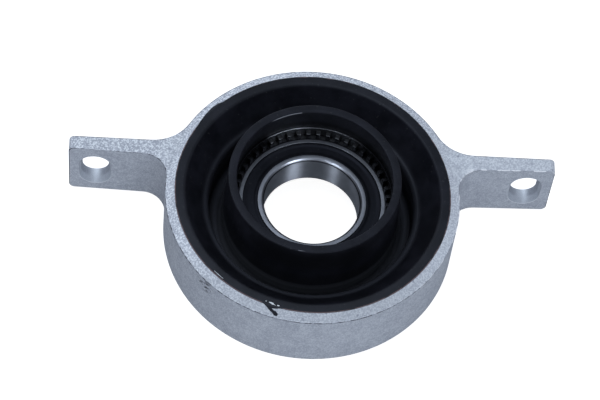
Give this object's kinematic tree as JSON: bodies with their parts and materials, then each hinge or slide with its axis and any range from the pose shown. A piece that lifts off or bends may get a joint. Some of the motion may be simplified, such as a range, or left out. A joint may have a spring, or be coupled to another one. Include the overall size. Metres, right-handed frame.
{
  "type": "driveshaft centre bearing",
  "caption": "Sealed ball bearing hung in a rubber bellows inside a cast aluminium ring with bolt lugs, to carry the middle of a two-piece driveshaft.",
  "frame": {"origin": "on the shaft axis, at the level of the ring's lower face, on which the part lies", "axes": "+Z along the shaft axis towards the collar, +X towards a bolt lug, +Y towards the side of the lugs"},
  "size_m": [0.204, 0.1226, 0.0438],
  "materials": {
    "cast_aluminium": "shot-blasted, as cast",
    "mount_rubber": "matt moulded",
    "sleeve_steel": "black phosphated",
    "race_steel": "ground and polished",
    "seal_rubber": "matt moulded",
    "cage_steel": "pressed sheet",
    "ball_steel": "lapped"
  },
  "bodies": {
    "bracket": {"bracket": "cast_aluminium", "rubber_mount": "mount_rubber", "bearing_sleeve": "sleeve_steel", "outer_race": "race_steel", "upper_seal": "seal_rubber", "lower_seal": "seal_rubber"},
    "inner_race": {"inner_race": "race_steel"},
    "cage": {"upper_cage": "cage_steel", "lower_cage": "cage_steel", "cage_rivets": "cage_steel", "ball_1": "ball_steel", "ball_2": "ball_steel", "ball_3": "ball_steel", "ball_4": "ball_steel", "ball_5": "ball_steel", "ball_6": "ball_steel", "ball_7": "ball_steel", "ball_8": "ball_steel", "ball_9": "ball_steel", "ball_10": "ball_steel", "ball_11": "ball_steel", "ball_12": "ball_steel", "ball_13": "ball_steel", "ball_14": "ball_steel", "ball_15": "ball_steel"}
  },
  "joints": [
    {"name": "inner_race_spin", "type": "hinge", "parent": "bracket", "child": "inner_race", "pos_m": [0, 0, 0.018], "axis": [0, 0, 1], "continuous": true},
    {"name": "cage_spin", "type": "hinge", "parent": "bracket", "child": "cage", "pos_m": [0, 0, 0.018], "axis": [0, 0, 1], "continuous": true}
  ],
  "couplings": [
    {"joint": "cage_spin", "follows": "inner_race_spin", "ratio": 0.4363}
  ]
}
